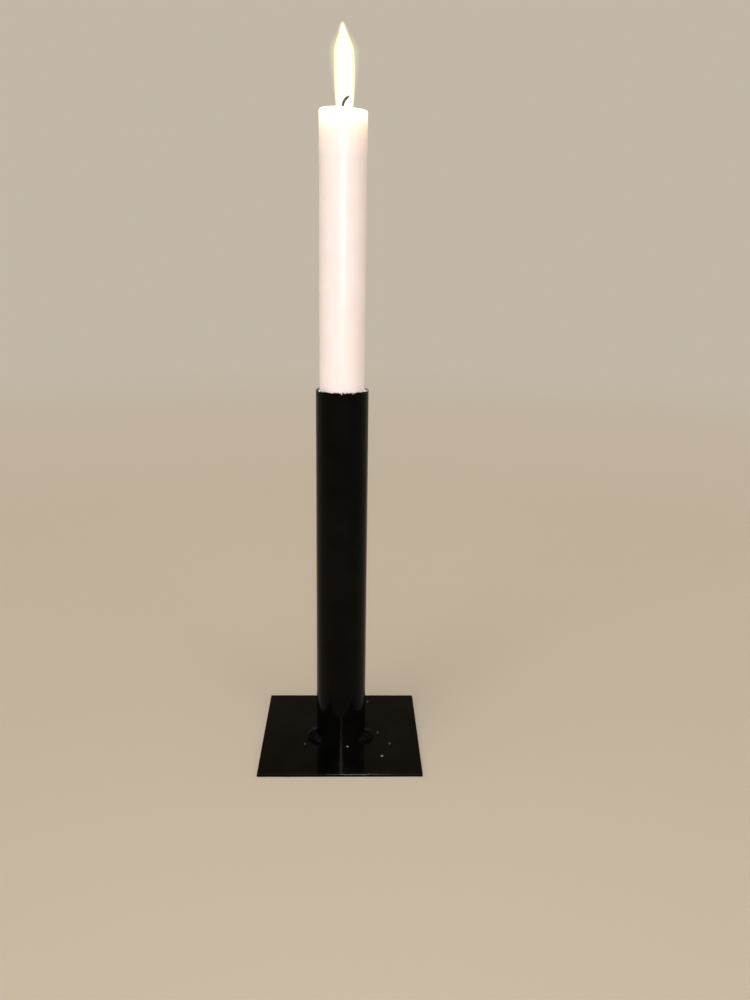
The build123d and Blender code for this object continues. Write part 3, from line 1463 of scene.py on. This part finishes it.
@dataclass
class WaxFlakes:
    """Ragged flakes, curls and crumbs of wax left on the tube's mouth.

    A gap is a bearing and half the angle left bare there. A crumb is a bearing, a distance from
    the axis and a height over the rim in millimetres, and a size.
    """

    count: int = 165
    gaps: tuple[tuple[float, float], ...] = (
        (180.0, 29.0),
        (-126.0, 5.0),
        (-53.0, 6.0),
        (8.0, 22.0),
        (128.0, 9.0),
    )
    crumbs: tuple[tuple[float, float, float, float], ...] = (
        (-91.0, 12.6, -0.3, 1.5),
        (-114.0, 12.0, 0.15, 1.9),
        (-20.0, 11.9, 0.2, 1.4),
    )
    weights: tuple[int, ...] = (1, 5, 3, 5)
    seed: int = 12
    clearance: float = 0.08 * MM
    inner_clearance: float = 0.25 * MM
    overhang: float = 0.15 * MM
    hang: float = 0.7 * MM
    reach_spread: tuple[float, float] = (1.6, 1.3)
    rises: tuple[float, float] = (0.02, 0.32)
    droop: float = 0.9
    droop_from: float = 0.75
    tilt: float = 0.35
    twist: float = 0.5
    sizes: tuple[float, float] = (0.55, 1.25)
    lengths: tuple[float, float] = (0.7, 1.4)
    thicknesses: tuple[float, float] = (0.8, 1.3)
    skin_lumps: float = 2600.0
    skin_depth: float = 0.09 * MM
    curl_radius: float = 0.5 * MM
    curl_turn: float = math.radians(210)
    curl_thickness: float = 0.09 * MM
    curl_width: float = 0.42 * MM
    crumb_radius: float = 0.24 * MM
    thorn_length: float = 1.5 * MM
    thorn_root: float = 0.15 * MM
    thorn_tip: float = 0.02 * MM
    thorn_lean: float = math.radians(88)
    flat_radius: float = 0.5 * MM
    flat_shares: Triple = (1.25, 0.6, 0.22)

    def places(self) -> bpy.types.Mesh:
        """Returns a mesh of points with each flake's kind, turn and size."""
        tube = packed_box("stem_tube")[1]
        inner = packed_box("candle_wax")[1].x + self.inner_clearance
        uneven = Random(self.seed)
        points, kinds, turns, sizes = [], [], [], []
        while len(points) < self.count:
            bearing = uneven.uniform(-180, 180)
            if any(abs((bearing - gap + 180) % 360 - 180) < half for gap, half in self.gaps):
                continue
            reach = uneven.betavariate(*self.reach_spread)
            distance = inner + (tube.x + self.overhang - inner) * reach
            droop = self.droop * max(0.0, reach - self.droop_from)
            rise = uneven.uniform(*self.rises) - droop
            points.append(around(distance, bearing, tube.z + rise * MM))
            kinds.append(uneven.choices(tuple(Shape), self.weights)[0].value)
            turns += [
                uneven.gauss(0.0, self.tilt),
                uneven.gauss(0.0, self.tilt),
                math.radians(bearing) + uneven.gauss(math.pi / 2, self.twist),
            ]
            size = uneven.uniform(*self.sizes)
            long = size * uneven.uniform(*self.lengths)
            thick = size * uneven.uniform(*self.thicknesses)
            sizes += [long, size, thick]
        for bearing, distance, rise, size in self.crumbs:
            points.append(around(distance * MM, bearing, tube.z + rise * MM))
            kinds.append(Shape.CRUMB.value)
            turns += [0.0, 0.0, 0.0]
            sizes += [size, size, size]
        mesh = bpy.data.meshes.new("flake_places")
        mesh.from_pydata(points, [], [])
        mesh.attributes.new("kind", "INT", "POINT").data.foreach_set("value", kinds)
        mesh.attributes.new("turn", "FLOAT_VECTOR", "POINT").data.foreach_set("vector", turns)
        mesh.attributes.new("size", "FLOAT_VECTOR", "POINT").data.foreach_set("vector", sizes)
        return mesh

    def shapes(self, tool: Tool) -> Socket:
        """Returns the shapes as instances. The last one joined gets number 0."""
        inputs = {"Resolution": 9, "Radius": self.curl_radius, "Sweep Angle": self.curl_turn}
        arc = tool.first("GeometryNodeCurveArc", inputs)
        inputs = {"Width": self.curl_thickness, "Height": self.curl_width}
        strip = tool.first("GeometryNodeCurvePrimitiveQuadrilateral", inputs)
        inputs = {"Curve": arc, "Profile Curve": strip, "Fill Caps": True}
        curl = tool.first("GeometryNodeCurveToMesh", inputs)
        inputs = {
            "Vertices": 6,
            "Side Segments": 4,
            "Radius Top": self.thorn_tip,
            "Radius Bottom": self.thorn_root,
            "Depth": self.thorn_length,
        }
        upright = tool.first("GeometryNodeMeshCone", inputs)
        inputs = {"Geometry": upright, "Rotation": (0.0, self.thorn_lean, 0.0)}
        thorn = tool.first("GeometryNodeTransform", inputs)
        inputs = {"Geometry": tool.ball(3, self.flat_radius), "Scale": self.flat_shares}
        shapes = {
            Shape.CURL: curl,
            Shape.CRUMB: tool.ball(2, self.crumb_radius),
            Shape.THORN: thorn,
            Shape.FLAT: tool.first("GeometryNodeTransform", inputs),
        }
        join = tool.add("GeometryNodeJoinGeometry")
        for shape in reversed(Shape):
            single = tool.first("GeometryNodeGeometryToInstance", {"Geometry": shapes[shape]})
            tool.tree.links.new(single, join.inputs[0])
        return join.outputs[0]

    def build(self, wax: bpy.types.Material) -> bpy.types.Object:
        """Scatters the flakes round the mouth.

        Args:
            wax: their material.

        Returns:
            The piece.
        """
        tube = packed_box("stem_tube")[1]
        tool = Tool("flake_tool")
        inner = tool.size("Candle Radius", packed_box("candle_wax")[1].x + self.clearance)
        lowest = tool.size("Lowest Height", tube.z - self.hang)
        material = tool.size("Wax", wax)
        size = tool.attribute("size", "FLOAT_VECTOR")
        picked = {
            "Pick Instance": True,
            "Instance Index": tool.attribute("kind", "INT"),
            "Rotation": tool.attribute("turn", "FLOAT_VECTOR"),
        }
        flakes = tool.scattered(tool.geometry, self.shapes(tool), size, picked)
        ragged = tool.roughened(flakes, self.skin_lumps, self.skin_depth)
        tool.close(tool.kept_outside(ragged, inner, lowest), material)
        piece = tool.make("wax_flakes", self.places())
        return finished(piece, Body.STAND, Slot.WAX, "wax_slivers")


def main() -> None:
    """Builds everything, from the camera to the scraped wax."""
    logging.basicConfig(level=logging.INFO, format="%(name)s: %(message)s")
    bpy.context.view_layer.update()
    bpy.context.scene.view_settings.view_transform = "Standard"
    PhotoCamera().build()
    Studio().build()
    SteelStand().build()
    Candle().build()
    # The scraped wax is darker and greyer than the candle's: painted shade of the gap between the
    # candle and the tube's rim.
    scraped = CandleWax(
        pale=(0.86, 0.79, 0.80),
        deep=(0.72, 0.65, 0.69),
        scatter=0.15,
        scatter_length=0.8 * MM,
        sheen_low=0.4,
        sheen_high=0.6,
    )
    WaxFlakes().build(scraped.material("scraped_wax"))


if __name__ == "__main__":
    main()
